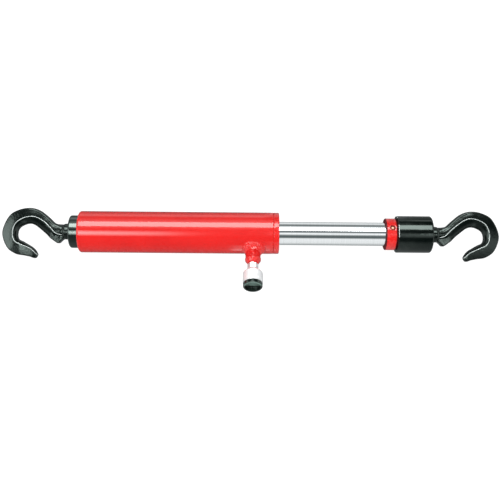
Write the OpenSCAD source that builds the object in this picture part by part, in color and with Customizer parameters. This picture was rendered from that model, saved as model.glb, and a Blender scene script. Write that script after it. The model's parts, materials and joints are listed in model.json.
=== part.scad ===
// Single-acting hydraulic pull cylinder with spring return and two swivel hooks.
// The pressure side is the rod side, so oil draws the rod in and the spring pushes it out again.
// It lies on its side with the rod out: +X runs along the cylinder toward the rod hook, +Z is up.
// All sizes are millimetres. s is measured outward from a swivel face, t toward a hook's tip.

/* [Barrel] */
// Outside diameter of the barrel tube
barrel_od = 57; // [56:0.5:60]
// Bore of the barrel tube
barrel_bore = 45; // [45:0.5:46]
// Position of the tube's base end along the cylinder
barrel_x0 = -235; // [-238:1:-233]
// Position of the tube's rod end, where the gland's flange meets it
barrel_x1 = 31; // [31:0.5:33]
// Outer face of the gland's flange
gland_face = 38.8; // [38.6:0.2:40]
// Height of the chamfer round the tube's base end
barrel_chamfer = 2.4; // [1:0.2:3]

/* [Rod] */
// Diameter of the chrome-plated rod
rod_d = 32; // [31:0.5:32]
// Full travel of the rod
stroke = 140; // [100:5:140]
// Piston's length
piston_len = 24; // [22:1:24]
// Hexagon of the nut that holds the piston, across its flats
piston_nut_af = 27; // [24:1:27]

/* [Rod end] */
// Diameter of the red lock collar
collar_d = 44; // [42:1:46]
// Start of the red lock collar along the cylinder
collar_x = 184.5; // [182:0.5:185]
// Diameter of the black sleeve that holds the rod hook
sleeve_d = 50.6; // [48:0.2:54]
// Start of the sleeve along the cylinder
sleeve_x = 200; // [199:1:202]

/* [Hooks] */
// Distance from the middle to each swivel face
swivel_face = 248; // [247:1:250]
// Diameter of a hook's shank
shank_d = 16; // [14:1:16]
// Slope of the hooks' plane below horizontal
hook_tilt = 45; // [40:1:45]
// Thickness of the latch lug
lug_t = 9; // [7:1:11]
// Rings between two stations of the hook's sweep
hook_steps = 4; // [2:1:5]

/* [Oil port] */
// Position of the port along the cylinder
port_x = 3.5; // [3:0.5:4]
// Angle of the port below horizontal
port_drop = 10.3; // [9:0.1:10.4]
// Diameter of the welded boss
boss_d = 21.5; // [19:0.5:22]
// Hexagon of the coupler's neck, across its flats
neck_af = 13; // [13:0.5:15]
// Diameter of the union collar
union_d = 26.9; // [25:0.1:27.5]
// Diameter of the dust cap
cap_d = 25.8; // [24:0.2:26]

/* [Springs] */
// Wire of the return spring
spring_wire = 4; // [3:0.1:4]
// Turns of the return spring, with its closed ends
spring_turns = 11.5; // [8:0.5:11.5]
// Middle diameter of the return spring's coil
spring_mean_d = 38; // [37.5:0.1:38.2]

/* [Hidden] */
$fn = 96;

red = [0.80, 0.07, 0.06];
black = [0.06, 0.07, 0.07];
cap_end = 88;                                   // outer face of the dust cap, from the axis
axis_z = barrel_od / 2;                         // the barrel lies on the ground
axis_y = (cap_end * cos(port_drop) + (cap_d / 2 - 0.9) * sin(port_drop) - barrel_od / 2) / 2;
bore_r = barrel_bore / 2;
rod_r = rod_d / 2;
fit = 0.05;                                     // radial gap of screwed joints
run = 0.03;                                     // radial gap of seals and guides
gland_x0 = 8;                                   // inner end of the gland
piston_x1 = -1;                                 // rod-side face of the piston, rod fully out
piston_x0 = piston_x1 - piston_len;
wall = 12;                                      // end wall that a hook's shank turns in
cavity_r = 15 + fit;                            // room for a hook's nut
base_seat = -swivel_face + 31;                  // inner end of the base cap, the spring's seat
rod_tail = piston_x0 - 14;

// ---- placing ----
module ax() translate([0, axis_y, axis_z]) rotate([0, 90, 0]) children();
module rev(points) ax() rotate_extrude() polygon(points);
module port() translate([port_x, axis_y, axis_z]) rotate([90 + port_drop, 0, 0]) children();
module port_rev(points) port() rotate_extrude() polygon(points);
module tube(r0, r1, x0, x1) rev([[r0, x0], [r1, x0], [r1, x1], [r0, x1]]);
module oring(r, x, w) ax() rotate_extrude() translate([r, x]) circle(r = w, $fn = 32);

// ---- barrel ----
module barrel_tube() color(red) difference() {
  rev([[bore_r, barrel_x0], [axis_z - barrel_chamfer, barrel_x0], [axis_z, barrel_x0 + barrel_chamfer],
       [axis_z, barrel_x1 - 0.6], [axis_z - 0.6, barrel_x1], [bore_r, barrel_x1]]);
  port() translate([0, 0, 12]) cylinder(r = 3.5, h = 22);
}

module base_cap() color(black)
  rev([[shank_d / 2 + 0.06, -swivel_face], [bore_r - 2.1, -swivel_face], [bore_r - fit, -swivel_face + 2],
       [bore_r - fit, base_seat - 0.8], [bore_r - 0.9, base_seat], [cavity_r, base_seat],
       [cavity_r, -swivel_face + wall], [shank_d / 2 + 0.06, -swivel_face + wall]]);

// ---- gland: flange, bush groove, seal groove, wiper groove and two pin-spanner holes ----
module gland_head() color(red) difference() {
  rev([[rod_r + 0.4, gland_x0], [bore_r - 1, gland_x0], [bore_r - fit, gland_x0 + 1],
       [bore_r - fit, gland_x0 + 3], [bore_r - 2.1, gland_x0 + 3], [bore_r - 2.1, gland_x0 + 6],
       [bore_r - fit, gland_x0 + 6], [bore_r - fit, barrel_x1], [axis_z - 0.6, barrel_x1],
       [axis_z, barrel_x1 + 0.6], [axis_z, gland_face - 0.8], [axis_z - 0.8, gland_face],
       [rod_r + 3.6, gland_face], [rod_r + 3.6, gland_face - 1.2], [rod_r + 4, gland_face - 1.6],
       [rod_r + 4, gland_face - 5.4], [rod_r + 0.4, gland_face - 5.4],
       [rod_r + 0.4, gland_x0 + 20], [rod_r + 4.5, gland_x0 + 20], [rod_r + 4.5, gland_x0 + 12],
       [rod_r + 0.4, gland_x0 + 12], [rod_r + 0.4, gland_x0 + 10], [rod_r + 2.5, gland_x0 + 10],
       [rod_r + 2.5, gland_x0 + 2], [rod_r + 0.4, gland_x0 + 2]]);
  for (side = [-1, 1])
    ax() translate([0, side * 24.4, gland_face - 5]) cylinder(r = 2.5, h = 10);
}
module gland_bush() color([0.72, 0.52, 0.25]) tube(rod_r + run, rod_r + 2.47, gland_x0 + 2.05, gland_x0 + 9.95);
module rod_seal() color([0.15, 0.3, 0.45]) rev([
  [rod_r + run, gland_x0 + 12.1], [rod_r + 1.4, gland_x0 + 12.1], [rod_r + 2.2, gland_x0 + 15],
  [rod_r + 3.1, gland_x0 + 12.1], [rod_r + 4.47, gland_x0 + 12.1], [rod_r + 4.47, gland_x0 + 18],
  [rod_r + run, gland_x0 + 18]]);
module backup_ring() color([0.9, 0.88, 0.8]) tube(rod_r + run, rod_r + 4.47, gland_x0 + 18.1, gland_x0 + 19.9);
module rod_wiper() color([0.12, 0.12, 0.12]) rev([
  [rod_r + run, gland_face - 0.2], [rod_r + 1.1, gland_face - 0.2], [rod_r + 1.6, gland_face - 2.4],
  [rod_r + 3.97, gland_face - 2.4], [rod_r + 3.97, gland_face - 5.3], [rod_r + 0.8, gland_face - 5.3],
  [rod_r + run, gland_face - 2]]);
module gland_oring() color([0.1, 0.1, 0.1]) oring(bore_r - 1.04, gland_x0 + 4.5, 1.02);

// ---- oil port: boss and weld bead on the barrel ----
module port_boss() color(red) difference() {
  port() rotate_extrude() polygon([[0, 20], [boss_d / 2, 20], [boss_d / 2, 44.9], [boss_d / 2 - 0.5, 45.7],
                                   [7.4, 50.5], [0, 50.5]]);
  ax() translate([0, 0, -40]) cylinder(r = axis_z, h = 80);
  port() translate([0, 0, 15]) cylinder(r = 3.5, h = 40);
  port() translate([0, 0, 39]) cylinder(r = 6, h = 20);
}
module port_weld() color(red) difference() {
  port_rev([[boss_d / 2, 18], [19.2, 18], [19.2, 21.2], [15.2, 27.6], [12.8, 32], [boss_d / 2 + 0.7, 36.6],
            [boss_d / 2, 39]]);
  ax() translate([0, 0, -40]) cylinder(r = axis_z, h = 80);
}

// ---- coupler half: neck, body with the hose socket, check valve, union collar, dust cap ----
module hex_nipple() color([0.75, 0.76, 0.78]) difference() {
  union() {
    port() translate([0, 0, 40]) cylinder(r = 6 - fit, h = 10.6);
    port() translate([0, 0, 50.5]) cylinder(r = neck_af / 2 / cos(30), h = 10.5, $fn = 6);
  }
  port() translate([0, 0, 38]) cylinder(r = 2, h = 20);
  port() translate([0, 0, 54]) cylinder(r = 3.25, h = 10);
  port() translate([0, 0, 57.2]) cylinder(r = 4.4 + fit, h = 10);
}
module coupler_body() color([0.78, 0.79, 0.8]) port_rev([
  [3.3, 57.25], [4.4, 57.25], [4.4, 61.05], [7.5, 61.05], [7.5, 65], [10.6, 65], [10.6, 74.6], [9.8, 75.4], [6.8, 75.4],
  [6, 74.6], [6, 65.4], [4.75, 65.4], [4.75, 63.9], [3.15, 63.9], [3.15, 65.4],
  [2.2, 65.4], [2.2, 64.4], [3.6, 62.3], [3.6, 60.7], [3.3, 60.4]]);
module coupler_oring() color([0.1, 0.1, 0.1]) port() rotate_extrude() translate([3.95, 64.66]) circle(r = 0.72, $fn = 32);
module union_collar() color([0.85, 0.86, 0.88]) port_rev([
  [7.56, 61.1], [8.2, 61.1], [union_d / 2 - 0.3, 66.3], [union_d / 2, 67], [union_d / 2, 81.6], [union_d / 2 - 0.6, 82.2],
  [11.3, 82.2], [10.9, 81.8], [10.9, 64.7], [7.56, 64.7]]);
module dust_cap() color([0.05, 0.05, 0.05]) port_rev([
  [0, 80.3], [8.6, 80.3], [8.6, 75.8], [10.2, 75.8], [10.6, 76.2], [10.6, 82.3], [cap_d / 2 - 0.3, 82.3],
  [cap_d / 2, 82.6], [cap_d / 2, cap_end - 0.9], [cap_d / 2 - 0.9, cap_end], [9.8, cap_end], [9.3, cap_end - 0.5],
  [9.3, 82], [0, 82]]);
module check_ball() color([0.8, 0.8, 0.82]) port() translate([0, 0, 62.2]) sphere(r = 3);
module check_spring() color([0.6, 0.6, 0.62]) port()
  coil(2.5, 0.35, 5, 54.4, 59.85, 16);

// ---- springs: round wire on a helix with one closed turn at each end ----
function coil_z(k, n, turns, wire, z0, z1) =
  let (a = turns * k / n, closed = 2.1 * wire)
  a < 1 ? z0 + closed * a
  : a > turns - 1 ? z1 - closed * (turns - a)
  : z0 + closed + (z1 - z0 - 2 * closed) * (a - 1) / (turns - 2);
module coil(r, wire, turns, z0, z1, steps) {
  n = round(turns * steps);
  m = 8;
  points = [for (k = [0:n]) for (j = [0:m - 1])
    let (a = 360 * turns * k / n, b = 360 * j / m, q = r + wire * cos(b))
    [q * cos(a), q * sin(a), coil_z(k, n, turns, wire, z0, z1) + wire * sin(b)]];
  sides = [for (k = [0:n - 1]) for (j = [0:m - 1]) let (i = (j + 1) % m)
    each [[k * m + j, k * m + i, (k + 1) * m + i], [k * m + j, (k + 1) * m + i, (k + 1) * m + j]]];
  polyhedron(points, concat(sides, [[for (j = [m - 1:-1:0]) j], [for (j = [0:m - 1]) n * m + j]]));
}
module return_spring() color([0.45, 0.45, 0.48]) ax()
  coil(spring_mean_d / 2, spring_wire / 2, spring_turns, base_seat + spring_wire / 2 + 0.1,
       piston_x0 - spring_wire / 2 - 0.1, 18);

// ---- piston and rod ----
module piston_seal() color([0.15, 0.3, 0.45]) rev([
  [bore_r - 4, -9.95], [bore_r - run, -9.95], [bore_r - run, -5.1], [bore_r - 1.3, -5.1], [bore_r - 2, -7.4],
  [bore_r - 2.8, -5.1], [bore_r - 4, -5.1]]);
module piston_wear_ring() color([0.55, 0.35, 0.2]) tube(bore_r - 2.45, bore_r - run, -20.9, -13.1);
module piston() color([0.55, 0.56, 0.58]) rev([
  [10.02, piston_x0], [bore_r - 1.4, piston_x0], [bore_r - 0.4, piston_x0 + 1], [bore_r - 0.4, -21],
  [bore_r - 2.5, -21], [bore_r - 2.5, -13], [bore_r - 0.4, -13], [bore_r - 0.4, -10], [bore_r - 4.1, -10],
  [bore_r - 4.1, -5], [bore_r - 0.4, -5], [bore_r - 0.4, piston_x1 - 1], [bore_r - 1.4, piston_x1],
  [10.02, piston_x1], [10.02, -15.2], [12.2, -15.2], [12.2, -18.2], [10.02, -18.2]]);
module piston_oring() color([0.1, 0.1, 0.1]) oring(11.1, -16.7, 1.07);
module piston_nut() color([0.6, 0.6, 0.62]) ax() difference() {
  translate([0, 0, piston_x0 - 12]) intersection() {
    cylinder(r = piston_nut_af / 2 / cos(30), h = 12, $fn = 6);
    rotate_extrude() polygon([[0, 0], [13.2, 0], [15.7, 2], [15.7, 12], [0, 12]]);
  }
  translate([0, 0, piston_x0 - 13]) cylinder(r = 10.02, h = 14);
}
module piston_rod() color([0.86, 0.87, 0.88]) rev([
  [0, rod_tail], [8.8, rod_tail], [9.97, rod_tail + 1.2], [9.97, piston_x1], [rod_r, piston_x1],
  [rod_r, collar_x], [15, collar_x], [15, 216], [14, 217], [0, 217]]);

// ---- rod end: lock collar with its set screw, sleeve ----
screw_x = 192.5;
module screw_dir() translate([screw_x, axis_y, axis_z]) rotate([22, 0, 0]) children();
module rod_collar() color(red) difference() {
  rev([[15 + fit, collar_x], [collar_d / 2 - 1, collar_x], [collar_d / 2, collar_x + 1],
       [collar_d / 2, sleeve_x - 0.5], [collar_d / 2 - 0.5, sleeve_x], [15 + fit, sleeve_x]]);
  screw_dir() cylinder(r = 3, h = 40);
}
module collar_set_screw() color([0.25, 0.25, 0.26]) screw_dir() difference() {
  translate([0, 0, 15.1]) cylinder(r = 3 - fit, h = collar_d / 2 - 16);
  translate([0, 0, collar_d / 2 - 3.9]) cylinder(r = 3 / 2 / cos(30), h = 8, $fn = 6);
}
module hook_sleeve() color(black)
  rev([[15 + fit, sleeve_x], [sleeve_d / 2 - 1, sleeve_x], [sleeve_d / 2, sleeve_x + 1],
       [sleeve_d / 2, swivel_face - 2.6], [sleeve_d / 2 - 2.6, swivel_face],
       [shank_d / 2 + 0.06, swivel_face], [shank_d / 2 + 0.06, swivel_face - wall],
       [15 + fit, swivel_face - wall]]);

// ---- swivel hook, drawn along s with its tip toward t ----
// Stations of the forging: inner point s and t, outer point s and t, half thickness, roundness
hook_stations = [
  [8, 9.4, 8, -9.6, 9.4, 1],
  [16, 10.4, 11.5, -9.9, 9.3, 0.9],
  [25.5, 11.3, 15.5, -10.1, 9, 0.5],
  [33.5, 4, 21.5, -11.8, 8.6, 0.1],
  [41.8, -3, 30, -19.6, 8.4, 0],
  [49, -8.3, 41.5, -28.4, 8.6, 0],
  [55.6, -10.1, 54.5, -32.3, 8.8, 0],
  [63.2, -8.2, 70.5, -29.6, 9, 0],
  [70, -3.6, 84.2, -20.5, 9.4, 0],
  [72.6, 4, 93.2, 1.5, 9.6, 0],
  [71, 10.9, 87.4, 21.5, 9.4, 0],
  [65, 14, 75.5, 31.2, 9, 0],
  [58.8, 17.6, 63, 33.6, 8.2, 0],
  [53, 21.1, 55, 35.3, 7.4, 0],
  [48.8, 24.8, 50.6, 37, 6.6, 0],
  [46.2, 28.4, 47.8, 37, 5.4, 0.4],
  [45.1, 31.1, 46, 35.2, 3.2, 1],
  [44.7, 32.4, 44.9, 33.6, 1, 1]];

function blend(p0, p1, p2, p3, u) =
  0.5 * (2 * p1 + (p2 - p0) * u + (2 * p0 - 5 * p1 + 4 * p2 - p3) * u * u + (3 * p1 - p0 - 3 * p2 + p3) * u * u * u);
function station(q) =
  let (n = len(hook_stations) - 1, i = min(floor(q), n - 1))
  blend(hook_stations[max(i - 1, 0)], hook_stations[i], hook_stations[i + 1], hook_stations[min(i + 2, n)], q - i);
function power(c, e) = sign(c) * pow(abs(c), e);
function section(st, m) =
  [for (k = [0:m - 1])
    let (round = max(0, min(1, st[5])), e = 0.78 + 0.22 * round, a = 360 * k / m,
         u = 0.5 - 0.5 * power(cos(a), e),
         v = st[4] * power(sin(a), e) * (1 + (1 - round) * (0.06 - 0.3 * u * u)))
    [st[0] + (st[2] - st[0]) * u, st[1] + (st[3] - st[1]) * u, v]];

module forging() {
  m = 24;
  n = (len(hook_stations) - 1) * hook_steps;
  points = [for (k = [0:n]) each section(station(k / hook_steps), m)];
  sides = [for (k = [0:n - 1]) for (j = [0:m - 1]) let (i = (j + 1) % m)
    each [[k * m + j, (k + 1) * m + i, k * m + i], [k * m + j, (k + 1) * m + j, (k + 1) * m + i]]];
  polyhedron(points, concat(sides, [[for (j = [0:m - 1]) j], [for (j = [m - 1:-1:0]) n * m + j]]));
}

module hook() difference() {
  union() {
    forging();
    // latch lug below the shank
    translate([0, 0, -lug_t / 2]) linear_extrude(lug_t)
      polygon([[8.6, 4], [8.6, 10.6], [12.4, 13.3], [15, 16], [16.4, 16.5], [18.2, 16], [26.8, 9.8], [26, 4]]);
    // swivel collar and shank
    rotate([0, 90, 0]) rotate_extrude()
      polygon([[0, -28.6], [shank_d / 2 - 1.2, -28.6], [shank_d / 2, -27.4], [shank_d / 2, 0.4], [9.7, 0.4],
               [10.9, 1.6], [10.9, 6.6], [9.9, 8.4], [9.2, 10.4], [0, 10.4]]);
  }
  translate([-20.9, 0, -20]) cylinder(r = 1.5, h = 40);
}
module hook_place(side) translate([side * swivel_face, axis_y, axis_z])
  mirror([side < 0 ? 1 : 0, 0, 0]) rotate([180 + hook_tilt, 0, 0]) children();
module swivel_nut() difference() {
  translate([-27.4, 0, 0]) rotate([0, 90, 0]) intersection() {
    cylinder(r = 12 / cos(30), h = 12.3, $fn = 6);
    rotate_extrude() polygon([[0, 0], [12, 0], [14, 1.6], [14, 12.3], [0, 12.3]]);
  }
  translate([-40, 0, 0]) rotate([0, 90, 0]) cylinder(r = shank_d / 2 + 0.02, h = 30);
  translate([-20.9, 0, -20]) cylinder(r = 1.5, h = 40);
}
module swivel_pin() translate([-20.9, 0, -11.4]) cylinder(r = 1.48, h = 22.8);
module swivel_washer() rotate([0, 90, 0]) translate([0, 0, -15.1]) difference() {
  cylinder(r = 13.4, h = 2.8);
  translate([0, 0, -1]) cylinder(r = shank_d / 2 + 0.02, h = 5);
}

module rod_hook() color(black) hook_place(1) hook();
module rod_hook_nut() color([0.6, 0.6, 0.62]) hook_place(1) swivel_nut();
module rod_hook_pin() color([0.4, 0.4, 0.42]) hook_place(1) swivel_pin();
module rod_hook_washer() color([0.7, 0.7, 0.72]) hook_place(1) swivel_washer();
module base_hook() color(black) hook_place(-1) hook();
module base_hook_nut() color([0.6, 0.6, 0.62]) hook_place(-1) swivel_nut();
module base_hook_pin() color([0.4, 0.4, 0.42]) hook_place(-1) swivel_pin();
module base_hook_washer() color([0.7, 0.7, 0.72]) hook_place(-1) swivel_washer();

barrel_tube();
base_cap();
gland_head();
gland_bush();
rod_seal();
backup_ring();
rod_wiper();
gland_oring();
port_boss();
port_weld();
hex_nipple();
coupler_body();
coupler_oring();
return_spring();
union_collar();
dust_cap();
check_ball();
check_spring();
piston_seal();
piston_wear_ring();
piston_rod();
piston();
piston_oring();
piston_nut();
rod_collar();
collar_set_screw();
hook_sleeve();
rod_hook();
rod_hook_nut();
rod_hook_pin();
rod_hook_washer();
base_hook();
base_hook_nut();
base_hook_pin();
base_hook_washer();
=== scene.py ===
import json
import math

import bmesh
import bpy
import numpy as np
from mathutils import Matrix, Vector, noise


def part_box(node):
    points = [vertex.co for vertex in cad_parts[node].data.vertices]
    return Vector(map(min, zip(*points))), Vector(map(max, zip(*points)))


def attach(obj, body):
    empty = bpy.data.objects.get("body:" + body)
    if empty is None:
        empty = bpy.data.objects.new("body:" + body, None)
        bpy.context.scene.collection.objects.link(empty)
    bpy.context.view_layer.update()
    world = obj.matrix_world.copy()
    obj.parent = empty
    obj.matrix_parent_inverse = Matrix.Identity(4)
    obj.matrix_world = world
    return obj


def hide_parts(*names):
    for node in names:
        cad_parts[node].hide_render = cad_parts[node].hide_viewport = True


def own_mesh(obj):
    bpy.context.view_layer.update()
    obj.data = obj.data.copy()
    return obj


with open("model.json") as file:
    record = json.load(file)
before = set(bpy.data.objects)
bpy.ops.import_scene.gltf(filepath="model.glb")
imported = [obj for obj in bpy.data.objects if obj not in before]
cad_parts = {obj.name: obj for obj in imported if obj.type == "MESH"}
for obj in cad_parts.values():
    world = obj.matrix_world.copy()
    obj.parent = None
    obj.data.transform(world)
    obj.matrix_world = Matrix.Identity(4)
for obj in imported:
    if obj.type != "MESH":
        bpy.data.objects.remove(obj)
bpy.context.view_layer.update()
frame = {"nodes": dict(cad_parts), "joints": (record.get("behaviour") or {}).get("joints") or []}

# ------------------------------------------------------------------ frame
NODES = frame["nodes"]
MM = 0.001

lo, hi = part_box("barrel_tube")
AY, AZ = (lo.y + hi.y) / 2, (lo.z + hi.z) / 2        # the cylinder's axis
PORT = (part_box("port_boss")[0].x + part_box("port_boss")[1].x) / 2
UNION = next(j for j in frame["joints"] if j["name"] == "union_turn")
D = Vector(UNION["axis"]).normalized()               # the port's direction, outward
PX = Vector((1, 0, 0))
PU = D.cross(PX).normalized()
if PU.z < 0:
    PU = -PU
ORIGIN = Vector((PORT, AY, AZ))
TILT = math.radians(45)                              # slope of the hooks' plane
FACE = 0.248
scene = bpy.context.scene


# ------------------------------------------------------------------ camera, first
def make_camera():
    data = bpy.data.cameras.new("camera")
    data.sensor_width = 36
    data.sensor_fit = "HORIZONTAL"
    data.lens = 18 / math.tan(math.radians(36.7) / 2)
    data.clip_start, data.clip_end = 0.01, 50
    data.dof.use_dof = False
    cam = bpy.data.objects.new("camera", data)
    scene.collection.objects.link(cam)
    el = math.radians(45)
    f = Vector((0, math.cos(el), -math.sin(el)))
    u = Vector((0, math.sin(el), math.cos(el)))
    r = Vector((1, 0, 0))
    roll = math.radians(0.49)
    # a small roll, so that the cylinder falls slightly to the right
    r2 = r * math.cos(roll) + u * math.sin(roll)
    u2 = u * math.cos(roll) - r * math.sin(roll)
    place = Vector((-0.0006, AY, AZ)) - 1.040 * f - 0.0233 * u
    m = Matrix((r2, u2, -f)).transposed().to_4x4()
    m.translation = place
    cam.matrix_world = m
    scene.camera = cam
    return cam


CAMERA = make_camera()


# ------------------------------------------------------------------ mesh helpers
def new_object(name, verts, faces, smooth=True):
    mesh = bpy.data.meshes.new(name)
    mesh.from_pydata([tuple(v) for v in verts], [], faces)
    mesh.update()
    bm = bmesh.new()
    bm.from_mesh(mesh)
    bmesh.ops.remove_doubles(bm, verts=bm.verts, dist=2e-7)
    bmesh.ops.recalc_face_normals(bm, faces=bm.faces)
    bm.to_mesh(mesh)
    bm.free()
    if smooth:
        mesh.polygons.foreach_set("use_smooth", [True] * len(mesh.polygons))
    o = bpy.data.objects.new(name, mesh)
    scene.collection.objects.link(o)
    return o


def rounded(profile, seg=5):
    """A closed profile of (x, r, fillet) corners, in millimetres, as a list of (x, r) in metres."""
    out = []
    n = len(profile)
    for i, (x, r, f) in enumerate(profile):
        p = Vector((x, r))
        a = Vector(profile[i - 1][:2]) - p
        b = Vector(profile[(i + 1) % n][:2]) - p
        if f <= 0 or a.length < 1e-6 or b.length < 1e-6:
            out.append(p)
            continue
        angle = a.angle(b)
        cut = min(f / math.tan(angle / 2), a.length * 0.48, b.length * 0.48)
        radius = cut * math.tan(angle / 2)
        an, bn = a.normalized(), b.normalized()
        mid = (an + bn).normalized()
        centre = p + mid * (radius / math.sin(angle / 2))
        start, end = p + an * cut, p + bn * cut
        v0, v1 = start - centre, end - centre
        sweep = v0.angle_signed(v1) if v0.length > 0 else 0
        hold = min(0.3 * radius, 0.2)
        if a.length - cut > 2.5 * hold:
            out.append(start + an * hold)
        for k in range(seg + 1):
            t = -sweep * k / seg
            c, s = math.cos(t), math.sin(t)
            out.append(centre + Vector((v0.x * c - v0.y * s, v0.x * s + v0.y * c)))
        if b.length - cut > 2.5 * hold:
            out.append(end + bn * hold)
    return [(q.x * MM, max(q.y, 0) * MM) for q in out]


def split_long(points, step):
    """More rings along the long straight runs of a profile."""
    out = []
    for i, (x, r) in enumerate(points):
        x1, r1 = points[(i + 1) % len(points)]
        n = max(1, int(math.hypot(x1 - x, r1 - r) / step))
        out += [(x + (x1 - x) * k / n, r + (r1 - r) * k / n) for k in range(n)]
    return out


def axle(x, r, a):
    return Vector((x, AY + r * math.cos(a), AZ + r * math.sin(a)))


def spout(s, r, a):
    return ORIGIN + D * s + (PX * math.cos(a) + PU * math.sin(a)) * r


def revolve(name, profile, place=axle, seg=128, fillet_seg=5, step=None, shape=None):
    pts = rounded(profile, fillet_seg)
    if step:
        pts = split_long(pts, step)
    verts, faces = [], []
    m = len(pts)
    for j in range(seg):
        a = 2 * math.pi * j / seg
        for x, r in pts:
            v = place(x, r, a)
            if shape and r > 1e-6:
                v = shape(v, x, r, a)
            verts.append(v)
    for j in range(seg):
        k = (j + 1) % seg
        for i in range(m):
            l = (i + 1) % m
            if pts[i][1] < 1e-7 and pts[l][1] < 1e-7:
                continue
            if pts[i][1] < 1e-7:
                faces.append((j * m + i, j * m + l, k * m + l))
            elif pts[l][1] < 1e-7:
                faces.append((j * m + i, j * m + l, k * m + i))
            else:
                faces.append((j * m + i, j * m + l, k * m + l, k * m + i))
    return new_object(name, verts, faces)


def finish_piece(o, body, node, material):
    o.data.materials.clear()
    o.data.materials.append(material)
    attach(o, body)
    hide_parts(node)
    return o


def apply_modifiers(o):
    bpy.context.view_layer.update()
    dg = bpy.context.evaluated_depsgraph_get()
    mesh = bpy.data.meshes.new_from_object(o.evaluated_get(dg))
    old = o.data
    o.modifiers.clear()
    o.data = mesh
    bpy.data.meshes.remove(old)
    mesh.polygons.foreach_set("use_smooth", [True] * len(mesh.polygons))


def grain(p, size, seed=0.0):
    """Signed noise at a point, with features of about that size in metres."""
    return noise.noise(Vector(p) / size + Vector((seed, seed * 1.7, -seed)))


# ------------------------------------------------------------------ material helpers
class Mat:
    def __init__(self, name):
        self.m = bpy.data.materials.new(name)
        self.m.use_nodes = True
        self.t = self.m.node_tree
        self.t.nodes.clear()
        self.out = self.t.nodes.new("ShaderNodeOutputMaterial")
        self.b = self.t.nodes.new("ShaderNodeBsdfPrincipled")
        self.t.links.new(self.b.outputs[0], self.out.inputs[0])
        self.co = self.t.nodes.new("ShaderNodeTexCoord").outputs["Object"]

    def set(self, **values):
        for k, v in values.items():
            key = k.replace("_", " ")
            s = self.b.inputs[key]
            s.default_value = (*v, 1) if isinstance(v, tuple) and len(v) == 3 and s.type == "RGBA" else v
        return self

    def link(self, a, b):
        self.t.links.new(a, b)

    def scaled(self, x, y, z):
        n = self.t.nodes.new("ShaderNodeMapping")
        n.inputs["Scale"].default_value = (x, y, z)
        self.link(self.co, n.inputs["Vector"])
        return n.outputs[0]

    def noise(self, scale, detail=2.0, rough=0.5, vector=None, distortion=0.0):
        n = self.t.nodes.new("ShaderNodeTexNoise")
        n.inputs["Scale"].default_value = scale
        n.inputs["Detail"].default_value = detail
        n.inputs["Roughness"].default_value = rough
        n.inputs["Distortion"].default_value = distortion
        self.link(vector if vector is not None else self.co, n.inputs["Vector"])
        return n.outputs["Fac"]

    def voronoi(self, scale, feature="F1", vector=None):
        n = self.t.nodes.new("ShaderNodeTexVoronoi")
        n.feature = feature
        n.inputs["Scale"].default_value = scale
        self.link(vector if vector is not None else self.co, n.inputs["Vector"])
        return n.outputs["Distance"]

    def ramp(self, value, a, b, lo=0.0, hi=1.0, smooth=True):
        n = self.t.nodes.new("ShaderNodeMapRange")
        n.interpolation_type = "SMOOTHSTEP" if smooth else "LINEAR"
        n.inputs["From Min"].default_value = a
        n.inputs["From Max"].default_value = b
        n.inputs["To Min"].default_value = lo
        n.inputs["To Max"].default_value = hi
        self.link(value, n.inputs["Value"])
        return n.outputs["Result"]

    def math(self, op, a, b=None):
        n = self.t.nodes.new("ShaderNodeMath")
        n.operation = op
        for i, v in enumerate((a, b)):
            if v is None:
                continue
            if isinstance(v, (int, float)):
                n.inputs[i].default_value = v
            else:
                self.link(v, n.inputs[i])
        return n.outputs[0]

    def mix(self, fac, a, b):
        n = self.t.nodes.new("ShaderNodeMix")
        n.data_type = "RGBA"
        if isinstance(fac, (int, float)):
            n.inputs[0].default_value = fac
        else:
            self.link(fac, n.inputs[0])
        for i, v in ((6, a), (7, b)):
            if isinstance(v, tuple):
                n.inputs[i].default_value = (*v, 1)
            else:
                self.link(v, n.inputs[i])
        return n.outputs[2]

    def bump(self, height, distance, strength=1.0, under=None):
        n = self.t.nodes.new("ShaderNodeBump")
        n.inputs["Strength"].default_value = strength
        n.inputs["Distance"].default_value = distance
        self.link(height, n.inputs["Height"])
        if under is not None:
            self.link(under, n.inputs["Normal"])
        return n.outputs[0]

    def to(self, key, value):
        self.link(value, self.b.inputs[key])
        return self


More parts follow.
